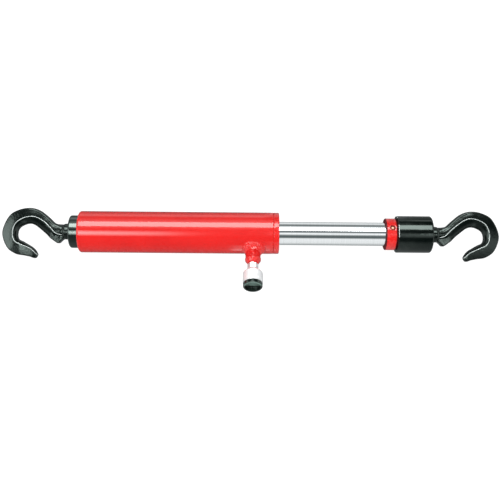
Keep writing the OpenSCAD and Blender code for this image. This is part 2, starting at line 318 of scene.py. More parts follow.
# ------------------------------------------------------------------ materials
def red_enamel(name, lumps=0.0, seed=0.0):
    m = Mat(name)
    m.set(Metallic=0.0, IOR=1.45, Specular_IOR_Level=0.06, Coat_Weight=1.0, Coat_Roughness=0.04, Coat_IOR=1.45)
    broad = m.noise(22 + seed, 3.0)
    base = m.mix(m.ramp(broad, 0.3, 0.7), (0.47, 0.0090, 0.0076), (0.43, 0.0076, 0.0066))
    # thin cover and dust that dried in the enamel
    specks = m.ramp(m.voronoi(700), 0.06, 0.16, 1.0, 0.0)
    where = m.ramp(m.noise(60, 2.0), 0.56, 0.66)
    base = m.mix(m.math("MULTIPLY", m.math("MULTIPLY", specks, where), 0.30), base, (0.30, 0.006, 0.006))
    # sparse nicks down to the primer
    nick = m.ramp(m.voronoi(120, vector=m.scaled(0.6, 1.6, 1.6)), 0.035, 0.075, 1.0, 0.0)
    few = m.ramp(m.noise(34, 1.0), 0.70, 0.74)
    nicks = m.math("MULTIPLY", nick, few)
    base = m.mix(nicks, base, (0.05, 0.018, 0.016))
    m.to("Base Color", base)
    m.to("Roughness", m.math("ADD", m.ramp(m.noise(150, 4.0), 0.3, 0.7, 0.22, 0.36), m.math("MULTIPLY", nicks, 0.3)))
    peel = m.bump(m.noise(620, 1.5), 0.000010 + lumps * 0.00005)
    wave = m.bump(m.noise(70, 1.0), 0.00003 + lumps * 0.0004, under=peel)
    if lumps:
        wave = m.bump(m.noise(260, 3.0, distortion=0.6), lumps * 0.00042, under=wave)
        wave = m.bump(m.ramp(m.voronoi(330, "SMOOTH_F1"), 0.0, 0.8), lumps * 0.00022, under=wave)
    sink = m.bump(m.math("SUBTRACT", 1.0, nicks), 0.00012, under=wave)
    m.to("Normal", sink)
    coat = m.bump(m.noise(620, 1.5), 0.000002 + lumps * 0.000012)
    coat = m.bump(m.noise(70, 1.0), 0.000018 + lumps * 0.0003, under=coat)
    if lumps:
        coat = m.bump(m.noise(260, 3.0, distortion=0.6), lumps * 0.00012, under=coat)
    m.to("Coat Normal", coat)
    return m.m


def black_enamel(name, forged=0.0, ior=1.48):
    m = Mat(name)
    m.set(Metallic=0.0, IOR=ior, Specular_Tint=(0.82, 1.0, 0.93))
    c = m.mix(m.ramp(m.noise(40, 3.0), 0.3, 0.7), (0.0010, 0.0016, 0.0014), (0.0020, 0.0028, 0.0025))
    rub = m.math("MULTIPLY", m.ramp(m.noise(210, 4.0), 0.62, 0.72), 0.35)
    c = m.mix(rub, c, (0.006, 0.008, 0.0072))
    m.to("Base Color", c)
    if forged:
        m.to("Roughness", m.ramp(m.noise(110, 4.0), 0.3, 0.7, 0.11, 0.19))
        n = m.bump(m.noise(900, 2.0), 0.000026)
        n = m.bump(m.noise(260, 3.0, distortion=0.4), 0.00005 * forged, under=n)
        n = m.bump(m.ramp(m.voronoi(420, "SMOOTH_F1"), 0.05, 0.7), 0.00003 * forged, under=n)
    else:
        m.to("Roughness", m.ramp(m.noise(130, 4.0), 0.3, 0.7, 0.075, 0.13))
        n = m.bump(m.noise(600, 1.5), 0.000016)
        n = m.bump(m.noise(75, 1.0), 0.00009, under=n)
        # turning marks that show through the enamel
        n = m.bump(m.noise(1.0, 3.0, vector=m.scaled(900, 4, 4)), 0.000012, under=n)
    m.to("Normal", n)
    return m.m


def metal(name, color, low, high, grooves=(2400, 8, 8), depth=0.000004, dirt=None, dirt_at=(0.60, 0.72), metallic=1.0):
    m = Mat(name)
    m.set(Metallic=metallic)
    g = m.noise(1.0, 4.0, 0.6, vector=m.scaled(*grooves))
    cloud = m.noise(55, 3.0)
    shade = tuple(v * 0.90 for v in color)
    c = m.mix(m.ramp(g, 0.35, 0.65), shade, color)
    if dirt:
        c = m.mix(m.math("MULTIPLY", m.ramp(m.noise(95, 4.0), *dirt_at), 0.55), c, dirt)
    m.to("Base Color", c)
    m.to("Roughness", m.math("ADD", m.ramp(g, 0.3, 0.7, low, high), m.ramp(cloud, 0.35, 0.75, 0.0, (high - low) * 0.6)))
    n = m.bump(g, depth)
    n = m.bump(m.noise(80, 2.0), depth * 6, under=n)
    m.to("Normal", n)
    return m.m


def moulded(name, color, low=0.30, high=0.45, specular_tint=(1, 1, 1), texture=0.00003, ior=1.5):
    m = Mat(name)
    m.set(Metallic=0.0, IOR=ior, Specular_Tint=specular_tint)
    bright = tuple(min(1, v * 1.5 + 0.001) for v in color)
    m.to("Base Color", m.mix(m.ramp(m.noise(90, 4.0), 0.35, 0.75), color, bright))
    m.to("Roughness", m.ramp(m.noise(160, 4.0), 0.3, 0.7, low, high))
    n = m.bump(m.noise(1600, 2.0), texture)
    n = m.bump(m.noise(180, 2.0), texture * 3, under=n)
    m.to("Normal", n)
    return m.m


def painted_highlight_ridge(name):
    """A painted highlight: a bright steel-grey band that stands in for the glint along the forging's ridge, with black
    left in spots.
    """
    m = Mat(name)
    left = m.ramp(m.noise(170, 4.0, 0.6), 0.60, 0.70)
    m.to("Metallic", m.math("MULTIPLY", m.math("SUBTRACT", 1.0, left), 0.35))
    m.to("Base Color", m.mix(left, m.mix(m.ramp(m.noise(500, 2.0), 0.35, 0.65), (0.30, 0.335, 0.325), (0.46, 0.50, 0.485)), (0.010, 0.013, 0.012)))
    m.to("Roughness", m.ramp(m.noise(300, 3.0), 0.3, 0.7, 0.36, 0.50))
    m.to("Normal", m.bump(m.noise(700, 2.0), 0.00003))
    return m.m


# painted highlight for the hooks' ridges and the sleeve's edge
HIGHLIGHT_BAND = painted_highlight_ridge("painted_highlight_ridge")
# painted highlight and painted shade for the set screw
SCREW_GLINT = moulded("screw_painted_highlight", (0.46, 0.27, 0.17), 0.3, 0.45)
SCREW_SHADE = moulded("screw_painted_shade", (0.20, 0.028, 0.014), 0.5, 0.65, ior=1.3)
RED = red_enamel("red_enamel")
RED_ROUGH = red_enamel("red_enamel_rough", lumps=1.0, seed=5)
RED_RING = red_enamel("red_enamel_ring", lumps=0.55, seed=9)
BLACK = black_enamel("black_enamel")
CAP_BLACK = black_enamel("black_enamel_cap", ior=1.78)
FORGED = black_enamel("black_forging", forged=1.0)
# painted shade: the dark maroon for the collar's ends and the screw's mouth
SHADE_RED = moulded("red_painted_shade", (0.060, 0.0028, 0.0032), 0.62, 0.78, texture=0.00002, ior=1.25)
CHROME = metal("hard_chrome", (0.87, 0.885, 0.90), 0.035, 0.075, grooves=(2600, 7, 7), depth=0.0000016)
NICKEL = metal("bright_nickel", (0.90, 0.905, 0.91), 0.34, 0.46, grooves=(6, 1500, 300), depth=0.000006)
SATIN = metal("satin_nickel", (0.84, 0.845, 0.85), 0.40, 0.52, grooves=(6, 1500, 300), depth=0.000006, metallic=0.82)
STEEL = metal("turned_steel", (0.52, 0.53, 0.55), 0.22, 0.38, grooves=(1800, 10, 10), depth=0.00001, dirt=(0.16, 0.12, 0.07))
SPRING = metal("spring_steel", (0.20, 0.21, 0.23), 0.30, 0.45, grooves=(30, 300, 300), depth=0.00001, dirt=(0.07, 0.05, 0.03))
OXIDE = metal("black_oxide", (0.055, 0.055, 0.06), 0.32, 0.45, grooves=(400, 400, 400), depth=0.00001)
BALL = metal("bearing_ball", (0.80, 0.80, 0.82), 0.03, 0.06, grooves=(90, 90, 90), depth=0.000001)
BRONZE = metal("sintered_bronze", (0.62, 0.38, 0.15), 0.30, 0.45, grooves=(900, 900, 900), depth=0.00002, dirt=(0.16, 0.08, 0.03))
RUBBER = moulded("nitrile_rubber", (0.010, 0.010, 0.011), 0.45, 0.6)
CAP = moulded("moulded_rubber", (0.0016, 0.0024, 0.0021), 0.09, 0.15, specular_tint=(0.80, 1.0, 0.92), ior=1.68, texture=0.00001)
# painted reflection: a grey-green for the cap's recess floor and upper lip
CAP_SHEEN = moulded("rubber_painted_sheen", (0.070, 0.105, 0.092), 0.5, 0.65, specular_tint=(0.80, 1.0, 0.92), texture=0.00004)
URETHANE = moulded("cast_urethane", (0.03, 0.12, 0.30), 0.25, 0.4)
PTFE = moulded("filled_ptfe", (0.75, 0.72, 0.62), 0.4, 0.55)
RESIN = moulded("fabric_resin", (0.22, 0.10, 0.035), 0.45, 0.6, texture=0.00006)


# ------------------------------------------------------------------ barrel
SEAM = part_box("barrel_tube")[1].x / MM
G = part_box("gland_head")[1].x / MM


def brushed_end(v, x, r, a):
    """The last millimetres before the gland carry the thick cover of the ring."""
    near = (x / MM - (SEAM - 3.6)) / 0.8
    if r < 0.0275 or near <= 0:
        return v
    out = Vector((0, v.y - AY, v.z - AZ)).normalized()
    h = 0.00009 * grain(v, 0.0031, 7.1) + 0.00006 * grain(v, 0.0015, 1.2)
    return v + out * (h - 0.00010) * min(1, near)


barrel = revolve("barrel_tube_skin", [
    (-235, 22.5, 0.4), (-235, 28.5, 2.7), (SEAM - 4.4, 28.5, 0), (SEAM - 3.6, 28.5, 0), (SEAM - 2.8, 28.5, 0),
    (SEAM - 2.0, 28.5, 0), (SEAM - 1.3, 28.5, 0), (SEAM, 28.5, 0.9), (SEAM, 22.5, 0.3)],
    seg=256, fillet_seg=6, step=0.006, shape=brushed_end)
finish_piece(barrel, "barrel", "barrel_tube", RED)

cap = revolve("base_cap_skin", [
    (-248, 8.06, 0.5), (-248, 22.45, 2.3), (-217, 22.45, 0.8), (-217, 15.05, 0.4),
    (-236, 15.05, 0.6), (-236, 8.06, 0.4)], seg=144, fillet_seg=7)
finish_piece(cap, "barrel", "base_cap", CAP_BLACK)


def ring_lumps(v, x, r, a):
    """Thick hand-painted cover: the surface swells and sags by a tenth of a millimetre."""
    if r < 0.0275:
        return v
    out = Vector((0, v.y - AY, v.z - AZ)).normalized()
    h = 0.00010 * grain(v, 0.0035, 3.1) + 0.00007 * grain(v, 0.0016, 8.2)
    return v + out * (h - 0.00012)


X0 = 8
gland = revolve("gland_head_skin", [
    (X0, 16.4, 0.3), (X0, 22.45, 1.0), (X0 + 3, 22.45, 0.15), (X0 + 3, 20.4, 0.15), (X0 + 6, 20.4, 0.15),
    (X0 + 6, 22.45, 0.15), (SEAM, 22.45, 0), (SEAM, 28.5, 0.9), (G, 28.5, 1.1), (G, 19.6, 0.3),
    (G - 1.2, 19.6, 0.1), (G - 1.6, 20, 0), (G - 5.4, 20, 0.1), (G - 5.4, 16.4, 0.1),
    (X0 + 20, 16.4, 0.1), (X0 + 20, 20.5, 0.1), (X0 + 12, 20.5, 0.1), (X0 + 12, 16.4, 0.1),
    (X0 + 10, 16.4, 0.1), (X0 + 10, 18.5, 0.1), (X0 + 2, 18.5, 0.1), (X0 + 2, 16.4, 0.1)],
    seg=288, fillet_seg=5, step=0.0009, shape=ring_lumps)
# two pin-spanner holes in the end face
hole = []
for side in (-1, 1):
    verts, faces = [], []
    n = 40
    for x in (G * MM - 0.005, G * MM + 0.001):
        for k in range(n):
            a = 2 * math.pi * k / n
            verts.append((x, AY + side * 0.0244 + 0.0025 * math.cos(a), AZ + 0.0025 * math.sin(a)))
    for k in range(n):
        l = (k + 1) % n
        faces.append((k, l, n + l, n + k))
    faces += [tuple(range(n)), tuple(range(2 * n - 1, n - 1, -1))]
    c = new_object("spanner_cutter", verts, faces, smooth=False)
    b = gland.modifiers.new("hole", "BOOLEAN")
    b.operation, b.solver, b.object = "DIFFERENCE", "EXACT", c
    hole.append(c)
apply_modifiers(gland)
for c in hole:
    bpy.data.objects.remove(c)
gland.data.set_sharp_from_angle(angle=math.radians(50))
finish_piece(gland, "barrel", "gland_head", RED_RING)


# ------------------------------------------------------------------ oil port
def boss_shape(v, x, r, a):
    """The boss's side, flush with the barrel at its foot and lumpy under thick paint."""
    if r < 0.0062:
        return v
    out = (v - ORIGIN - D * (v - ORIGIN).dot(D)).normalized()
    lump = 0.00022 * grain(v, 0.0040, 1.3) + 0.00014 * grain(v, 0.0018, 5.4)
    return v + out * (lump - 0.00022)


boss = revolve("port_boss_skin", [
    (24, 3.5, 0), (24, 10.4, 0), (41.6, 10.4, 1.2), (43.8, 10.95, 0.9), (45.7, 10.85, 0.9), (50.5, 7.3, 1.0),
    (50.5, 6.0, 0.2), (39, 6.0, 0.1), (39, 3.5, 0.1)], place=spout, seg=160, step=0.0009, shape=boss_shape)
finish_piece(boss, "barrel", "port_boss", RED_ROUGH)


def weld_bead():
    """One hand-laid bead round the boss: it rides the saddle between boss and barrel, with a ripple at each dab."""
    n, m = 420, 22
    verts, faces = [], []
    dabs = 34
    for i in range(n):
        a = 2 * math.pi * i / n
        c, s = math.cos(a), math.sin(a)
        w = 1 + 0.10 * math.sin(3 * a + 0.6) + 0.06 * math.sin(7 * a + 2.0)
        toe = 10.7 + (5.2 + 1.4 * max(0, c)) * w      # foot on the barrel, spread toward the gland
        rise = 7.6 + 0.8 * math.sin(2 * a + 1.1) + 0.5 * math.sin(5 * a)  # height on the boss

        def saddle(r):
            return math.sqrt(max(28.5 ** 2 - (r * s) ** 2, 0.0))

        foot = Vector((toe, saddle(toe) - 0.15))
        top = Vector((10.35, saddle(10.4) + rise))
        along = top - foot
        side = Vector((along.y, -along.x)).normalized()
        if side.x < 0:
            side = -side
        for k in range(m + 1):
            u = k / m
            p = foot + along * u
            belly = math.sin(math.pi * u)
            hollow = -1.15 * belly                    # the fillet is drawn in, as a washed-out bead is
            ripple = math.cos(dabs * (a + 0.045 * math.sin(math.pi * u)))
            p = p + side * (hollow + belly * (0.34 + 0.26 * ripple * (0.6 + 0.4 * grain((c, s, u), 0.7, 4.0))))
            q = Vector((p.x, p.y))
            lump = 0.35 * belly * grain((q.x * c, q.x * s, q.y), 2.6, 2.2)
            q += side * lump
            verts.append(ORIGIN + D * (q.y * MM) + (PX * c + PU * s) * (q.x * MM))
        # hidden underside, inside boss and tube wall
        verts.append(ORIGIN + D * ((saddle(9.0) + 3.5) * MM) + (PX * c + PU * s) * (8.9 * MM))
        verts.append(ORIGIN + D * ((saddle(11.5) - 1.6) * MM) + (PX * c + PU * s) * (11.5 * MM))
    q = m + 3
    for i in range(n):
        j = (i + 1) % n
        for k in range(q):
            l = (k + 1) % q
            faces.append((i * q + k, i * q + l, j * q + l, j * q + k))
    return new_object("port_weld_bead", verts, faces)


finish_piece(weld_bead(), "barrel", "port_weld", RED_ROUGH)


def hex_neck():
    """The nipple: a turned stem with a chamfered hexagon, made as one lofted skin."""
    n = 180
    af = 13 / 2
    prof = [(40, 2.0, 0), (40, 5.6, 0), (40.6, 5.95, 0), (50.4, 5.95, 0), (50.5, 6.2, 0), (51.0, 9, 1), (60.2, 9, 1),
            (61.0, 6.3, 0), (61.0, 4.45, 0), (57.2, 4.45, 0), (57.2, 3.25, 0), (54, 3.25, 0), (54, 2.0, 0)]
    rings = []
    for i, (s, r, hexed) in enumerate(prof):
        rings.append((s, r, hexed))
        nxt = prof[(i + 1) % len(prof)]
        if hexed and not nxt[2]:
            for k in range(1, 6):
                u = k / 6
                rings.append((s + (nxt[0] - s) * u, r + (nxt[1] - r) * u, 1))
        elif nxt[2] and not hexed:
            for k in range(1, 6):
                u = k / 6
                rings.append((s + (nxt[0] - s) * u, r + (nxt[1] - r) * u, 1))
        elif hexed and nxt[2]:
            for k in range(1, 60):
                rings.append((s + (nxt[0] - s) * k / 60, r, 1))
    verts, faces = [], []
    for i in range(n):
        a = 2 * math.pi * i / n
        # a flat faces up, and the corners keep a small radius
        b = (a % (math.pi / 3)) - math.pi / 6
        flat = af / math.cos(b)
        corner = 7.38
        limit = min(flat, corner + 0.12 * (1 - math.cos(6 * a)))
        for s, r, hexed in rings:
            q = min(r, limit) if hexed else r
            verts.append(spout(s * MM, q * MM, a))
    m = len(rings)
    for i in range(n):
        j = (i + 1) % n
        for k in range(m):
            l = (k + 1) % m
            faces.append((i * m + k, i * m + l, j * m + l, j * m + k))
    o = new_object("hex_nipple_skin", verts, faces)
    o.data.set_sharp_from_angle(angle=math.radians(28))
    return o


neck = finish_piece(hex_neck(), "barrel", "hex_nipple", NICKEL)
neck.data.materials.append(RED_ROUGH)
for f in neck.data.polygons:
    # the red crept over the hexagon's first two millimetres when the boss was painted
    p = f.center - ORIGIN
    if p.dot(D) < 0.0521 + 0.0010 * grain(f.center, 0.0022, 7.7) + 0.0004 * grain(f.center, 0.0008, 1.1) and (p - D * p.dot(D)).length > 0.0062:
        f.material_index = 1

union = revolve("union_collar_skin", [
    (61.1, 7.56, 0.2), (61.1, 8.3, 0.35), (66.2, 13.1, 1.1), (67.2, 13.45, 0.6), (82.2, 13.45, 0.55),
    (82.2, 11.3, 0.2), (81.8, 10.9, 0.2), (64.7, 10.9, 0.2), (64.7, 7.56, 0.2)],
    place=spout, seg=144, fillet_seg=6)
finish_piece(union, "union", "union_collar", SATIN)

dust = revolve("dust_cap_skin", [
    (80.3, 0, 0), (80.3, 8.6, 0.3), (75.8, 8.6, 0.2), (75.8, 10.6, 0.4), (82.3, 10.6, 0.2), (82.3, 12.9, 0.5),
    (86.9, 12.9, 0.9), (88, 11.5, 0.6), (87.5, 10.3, 0.5), (82, 10.2, 0.7)]
    + [(82, 9.2 - 0.4 * k, 0) for k in range(23)] + [(82, 0, 0)], place=spout, seg=144, fillet_seg=7)
finish_piece(dust, "cap", "dust_cap", CAP)
dust.data.materials.append(CAP_SHEEN)
for f in dust.data.polygons:
    # painted reflection: the bottom of the recess and the upper lip get a lighter grey-green standing in for the sheen
    # they catch
    p = f.center - ORIGIN
    off, high = (p - D * p.dot(D)).length, p.dot(PU) + 0.0004 * grain(f.center, 0.002, 4.2)
    if (0.0818 < p.dot(D) < 0.0823 and off < 0.0099 and high > -0.0052) or (p.dot(D) > 0.0868 and 0.0098 < off < 0.0124 and high > 0.0035):
        f.material_index = 1


# ------------------------------------------------------------------ rod and rod end
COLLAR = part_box("rod_collar")[0].x / MM                # left end of the lock collar
rod = revolve("piston_rod_skin", [
    (-39, 0, 0), (-39, 9.97, 1.0), (-1, 9.97, 0.3), (-1, 16, 0.8), (COLLAR, 16, 0.3), (COLLAR, 15, 0.1),
    (217, 15, 0.9), (217, 0, 0)], seg=160, fillet_seg=6, step=0.01)
finish_piece(rod, "rod", "piston_rod", CHROME)


def collar_lumps(v, x, r, a):
    if r < 0.0205:
        return v
    out = Vector((0, v.y - AY, v.z - AZ)).normalized()
    h = 0.00012 * grain(v, 0.0042, 6.1) + 0.00007 * grain(v, 0.0019, 2.2)
    return v + out * (h - 0.00014) + Vector((0.00010 * grain(v, 0.006, 4.4), 0, 0)) * (1 if x < COLLAR * MM + 0.0005 else 0)


collar = revolve("rod_collar_skin", [
    (COLLAR, 15.05, 0.2), (COLLAR, 22, 1.0), (197.6, 22, 0.4), (200, 20.5, 0.3), (200, 15.05, 0.2)],
    seg=224, fillet_seg=6, step=0.001, shape=collar_lumps)
SCREW_X = 0.1925
SDIR = Vector((0, -math.sin(math.radians(22)), math.cos(math.radians(22))))
SIDE = PX.cross(SDIR)
SC = Vector((SCREW_X, AY, AZ))


def around(s, r, a):
    return SC + SDIR * s + (PX * math.cos(a) + SIDE * math.sin(a)) * r


cutter = revolve("screw_cutter", [(14, 0, 0), (14, 3.0, 0), (21.0, 3.0, 0), (22.0, 3.6, 0), (24, 4.8, 0), (24, 0, 0)],
                 place=around, seg=56)
b = collar.modifiers.new("hole", "BOOLEAN")
b.operation, b.solver, b.object = "DIFFERENCE", "EXACT", cutter
apply_modifiers(collar)
bpy.data.objects.remove(cutter)
collar.data.set_sharp_from_angle(angle=math.radians(48))
finish_piece(collar, "rod", "rod_collar", RED_RING)
collar.data.materials.append(SHADE_RED)
for f in collar.data.polygons:
    # painted shade: a dark maroon on both ends and round the screw's mouth stands in for the shade there
    p = f.center - SC
    up = p.dot(SDIR)
    ragged = 0.0004 * grain(f.center, 0.0021, 3.3)
    if f.center.x < COLLAR * MM + 0.0007 + ragged or f.center.x > 0.1978 + ragged or (up > 0 and (p - SDIR * up).length < 0.0037):
        f.material_index = 1

screw = revolve("collar_set_screw_skin", [
    (15.1, 0, 0), (15.1, 2.95, 0.5), (20.4, 2.95, 0.3), (20.9, 2.2, 0.3), (21.4, 1.5, 0.3), (21.6, 0.8, 0.3), (21.6, 0, 0)],
    place=around, seg=96, fillet_seg=4)
screw.data.set_sharp_from_angle(angle=math.radians(40))
# painted shade and highlight: the screw is a dark brown-red, with a light tan painted highlight at the centre of its
# end
finish_piece(screw, "rod", "collar_set_screw", SCREW_SHADE)
screw.data.materials.append(SCREW_GLINT)
for f in screw.data.polygons:
    p = f.center - SC
    up = p.dot(SDIR)
    if up > 0.0205 and (p - SDIR * up).length < 0.00155:
        f.material_index = 1

sleeve = revolve("hook_sleeve_skin", [
    (200, 15.05, 0.3), (200, 25.3, 1.1), (248, 25.3, 2.9), (248, 8.06, 0.4), (236, 8.06, 0.4), (236, 15.05, 0.5)],
    seg=176, fillet_seg=8, step=0.008)
finish_piece(sleeve, "rod", "hook_sleeve", BLACK)
sleeve.data.materials.append(HIGHLIGHT_BAND)
for f in sleeve.data.polygons:
    # painted highlight on the upper part of the turned edge next to the collar
    r = math.hypot(f.center.y - AY, f.center.z - AZ)
    turn = math.degrees(math.atan2(f.center.z - AZ, AY - f.center.y))
    if f.center.x < 0.2008 and r > 0.0247 and 34 < turn < 140 and grain(f.center, 0.009, 5.5) > -0.16:
        f.material_index = 1

# ------------------------------------------------------------------ hooks
STATIONS = [
    (8, 9.4, 8, -9.6, 9.4, 1.0), (16, 10.4, 11.5, -9.9, 9.3, 0.8), (25.5, 11.3, 15.5, -10.1, 9, 0.35),
    (33.5, 4, 21.5, -11.8, 8.6, 0.05), (41.8, -3, 30, -19.6, 8.4, 0), (49, -8.3, 41.5, -28.4, 8.6, 0),
    (55.6, -10.1, 54.5, -32.3, 8.8, 0), (63.2, -8.2, 70.5, -29.6, 9, 0), (70, -3.6, 84.2, -20.5, 9.4, 0),
    (72.6, 4, 93.2, 1.5, 9.6, 0), (71, 10.9, 87.4, 21.5, 9.4, 0), (65, 14, 75.5, 31.2, 9, 0),
    (58.8, 17.6, 63, 33.6, 8.2, 0), (53, 21.1, 55, 35.3, 7.4, 0), (48.8, 24.8, 50.6, 37, 6.6, 0),
    (46.2, 28.4, 47.8, 37, 5.4, 0.4), (45.1, 31.1, 46, 35.2, 3.2, 1), (44.7, 32.4, 44.9, 33.6, 1, 1)]


def catmull(p0, p1, p2, p3, u):
    return 0.5 * (2 * p1 + (p2 - p0) * u + (2 * p0 - 5 * p1 + 4 * p2 - p3) * u * u + (3 * p1 - p0 - 3 * p2 + p3) * u ** 3)


def station(q):
    st = np.array(STATIONS, float)
    n = len(st) - 1
    i = min(int(q), n - 1)
    return catmull(st[max(i - 1, 0)], st[i], st[i + 1], st[min(i + 2, n)], q - i)


def hook_section(w, h, rnd, ridge=0.41, m=72):
    """Points (u, v) round a section: u from the inner edge, v across. The saddle inside is round, a ridge stands
    part of the way across, and the flank falls from it to a tight outer edge."""
    half = m // 2
    out = []
    n1, n2 = int(half * 0.36), int(half * 0.30)
    n3 = half - n1 - n2
    top = math.radians(60)
    for k in range(n1):
        a = top * k / n1
        out.append((ridge * (1 - math.cos(a)) / (1 - math.cos(top)), math.sin(a) / math.sin(top)))
    for k in range(n2):
        t = k / n2
        out.append((ridge + (0.865 - ridge) * t, 1 - 0.15 * t + 0.018 * math.sin(math.pi * t)))
    for k in range(n3 + 1):
        a = math.radians(90) * k / n3
        out.append((0.865 + 0.135 * math.sin(a) ** 0.72, 0.85 * max(math.cos(a), 0) ** 0.62))
    pts = []
    for k, (u, v) in enumerate(out):
        a = math.pi * k / half
        ru, rv = 0.5 - 0.5 * math.cos(a), math.sin(a)
        pts.append(((u + (ru - u) * rnd) * w, (v + (rv - v) * rnd) * h))
    return pts + [(u, -v) for u, v in reversed(pts[1:-1])]


# how far across the section the ridge stands, from the inner edge, along the base and the rod hook
RIDGE_AT = {-1: (0.60, 0.62, 0.45, 0.36, 0.25, 0.22, 0.20, 0.30), 1: (0.68, 0.60, 0.54, 0.46, 0.30, 0.23, 0.26, 0.32)}
RIDGE_FACES = {}


def hook_mesh(name, side, seed):
    verts, faces = [], []

    def add(vs, fs):
        base = len(verts)
        verts.extend(vs)
        faces.extend([tuple(base + i for i in f) for f in fs])

    # the forging's body
    per = 9
    rings = []
    n = (len(STATIONS) - 1) * per
    for i in range(n + 1):
        st = station(i / per)
        a, b = Vector((st[0], st[1], 0)), Vector((st[2], st[3], 0))
        across = b - a
        w = across.length
        across.normalize()
        ridge = float(np.interp(i / per, (1, 4, 6, 7.5, 9, 11, 13, 16), RIDGE_AT[side]))
        rings.append([a + across * u + Vector((0, 0, v)) for u, v in hook_section(w, st[4], min(1, max(0, st[5])), ridge)])
    m = len(rings[0])
    vs = [p for r in rings for p in r]
    fs = []
    for i in range(n):
        for k in range(m):
            l = (k + 1) % m
            fs.append((i * m + k, i * m + l, (i + 1) * m + l, (i + 1) * m + k))
    fs += [tuple(range(m)), tuple(range((n + 1) * m - 1, n * m - 1, -1))]
    add(vs, fs)

    # the latch lug: a plate with drawn-in edges, thinner than the shank
    outline = [(8.8, 2), (8.8, 10.4), (12.2, 13.1), (14.2, 15.4), (15.6, 16.4), (17.2, 16.35), (18.8, 15.4),
               (22.4, 12.9), (27.0, 9.2), (27, 2)]
    centre = Vector((17.5, 8, 0))
    layers = [(-7.4, 0.86), (-7.1, 0.93), (-6.2, 0.975), (-4.4, 1.0), (4.4, 1.0), (6.2, 0.975), (7.1, 0.93), (7.4, 0.86)]
    vs = []
    for z, k in layers:
        for s, t in outline:
            p = Vector((s, t, 0))
            q = centre + (p - centre) * k
            vs.append(Vector((q.x, q.y, z)))
    m = len(outline)
    fs = []
    for i in range(len(layers) - 1):
        for k in range(m):
            l = (k + 1) % m
            fs.append((i * m + k, i * m + l, (i + 1) * m + l, (i + 1) * m + k))
    fs += [tuple(range(m)), tuple(range(len(layers) * m - 1, (len(layers) - 1) * m - 1, -1))]
    add(vs, fs)

    # a low bead along each side of the forging, which carries the ridge's painted highlight
    ridge_verts, ridge_faces = [], []
    k0 = int(36 * 0.36)
    first, last, sides = 4, n - 3, 12
    for face in (1, -1):
        base = len(ridge_verts)
        for i in range(first, last + 1):
            r = rings[i]
            q = r[k0]
            before, after = rings[i - 1][k0], rings[i + 1][k0]
            run = (after - before).normalized()
            across = run.cross(Vector((0, 0, 1))).normalized()
            fade = min(1, (i - first) / 8, (last - i) / 10) ** 0.5 if first < i < last else 0.15
            wide, tall = 0.46 * fade + 0.05, 0.42 * fade + 0.05
            foot = Vector((q.x, q.y, face * (q.z - 0.06 + 0.05 * grain((i * 0.3, face, seed), 1.0, 2.0))))
            for j in range(sides):
                a = 2 * math.pi * j / sides
                ridge_verts.append(foot + across * (wide * math.cos(a)) + Vector((0, 0, face * tall * math.sin(a))))
        count = last - first + 1
        for i in range(count - 1):
            for j in range(sides):
                l = (j + 1) % sides
                ridge_faces.append((base + i * sides + j, base + i * sides + l, base + (i + 1) * sides + l, base + (i + 1) * sides + j))
        ridge_faces += [tuple(range(base, base + sides)), tuple(range(base + count * sides - 1, base + (count - 1) * sides - 1, -1))]

    # swivel collar and shank
    prof = rounded([(-28.6, 0, 0), (-28.6, 8, 1.1), (0.4, 8, 0.2), (0.4, 10.9, 1.4), (7.4, 10.9, 1.6), (10.6, 9.1, 1.0), (10.6, 0, 0)])
    seg = 96
    vs, fs = [], []
    for j in range(seg):
        a = 2 * math.pi * j / seg
        for x, r in prof:
            vs.append(Vector((x / MM, r / MM * math.cos(a), r / MM * math.sin(a))))
    m = len(prof)
    for j in range(seg):
        k = (j + 1) % seg
        for i in range(m - 1):
            fs.append((j * m + i, j * m + i + 1, k * m + i + 1, k * m + i))
    add(vs, fs)

    mesh = bpy.data.meshes.new(name)
    mesh.from_pydata([tuple(v * MM) for v in verts], [], faces)
    bm = bmesh.new()
    bm.from_mesh(mesh)
    bmesh.ops.remove_doubles(bm, verts=bm.verts, dist=1e-7)
    bmesh.ops.recalc_face_normals(bm, faces=bm.faces)
    bm.to_mesh(mesh)
    bm.free()
    o = bpy.data.objects.new(name, mesh)
    scene.collection.objects.link(o)
    r = o.modifiers.new("fuse", "REMESH")
    r.mode = "VOXEL"
    r.voxel_size = 0.00055
    r.adaptivity = 0
    s = o.modifiers.new("relax", "SMOOTH")
    s.factor, s.iterations = 0.5, 3
    apply_modifiers(o)
    # forging skin: shallow waves and scale marks, and none on the turned shank
    normals = [v.normal.copy() for v in o.data.vertices]
    for v, nn in zip(o.data.vertices, normals):
        p = v.co
        if p.x > 0.009:
            k = min(1, (p.x - 0.009) / 0.006)
            v.co = p + nn * k * (0.00009 * grain(p, 0.009, seed) + 0.00003 * grain(p, 0.0026, seed + 3) - 0.00008)
    bm = bmesh.new()
    bm.from_mesh(o.data)
    rv = [bm.verts.new(v * MM) for v in ridge_verts]
    made = [bm.faces.new([rv[i] for i in f]) for f in ridge_faces]
    for f in made:
        f.smooth = True
    RIDGE_FACES[name] = len(made)
    bmesh.ops.recalc_face_normals(bm, faces=made)
    bm.to_mesh(o.data)
    bm.free()
    # into the row's frame
    T = Vector((0, -math.cos(TILT), -math.sin(TILT)))
    Nn = Vector((0, math.sin(TILT), -math.cos(TILT)))
    C = Vector((side * FACE, AY, AZ))
    for v in o.data.vertices:
        s_, t_, n_ = v.co
        v.co = C + Vector((side, 0, 0)) * s_ + T * t_ + Nn * n_
    if side < 0:
        o.data.flip_normals()
    o.data.update()
    return o


for made in (finish_piece(hook_mesh("rod_hook_forging", 1, 2.0), "rod_swivel", "rod_hook", FORGED),
             finish_piece(hook_mesh("base_hook_forging", -1, 11.0), "base_swivel", "base_hook", FORGED)):
    # the ridge beads take the painted highlight
    made.data.materials.append(HIGHLIGHT_BAND)
    for f in list(made.data.polygons)[-RIDGE_FACES[made.name]:]:
        f.material_index = 1


